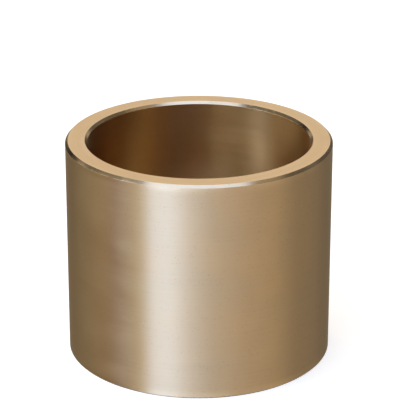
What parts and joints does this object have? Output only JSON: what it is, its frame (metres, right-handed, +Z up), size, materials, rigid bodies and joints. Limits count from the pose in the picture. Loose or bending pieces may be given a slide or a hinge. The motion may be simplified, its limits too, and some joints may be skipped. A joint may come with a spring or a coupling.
{
  "type": "sleeve bushing",
  "caption": "Plain cylindrical bronze sleeve bushing with a through bore, flat ends and small 45-degree chamfers.",
  "frame": {"origin": "centre of the lower end face, on the axis of the bore", "axes": "+Z up the axis of the bore to the upper end face; X and Y are any two square directions across it"},
  "size_m": [0.03, 0.03, 0.025],
  "materials": {
    "bronze": "fine-turned satin bronze"
  },
  "bodies": {
    "root": {"sleeve": "bronze"}
  },
  "joints": []
}
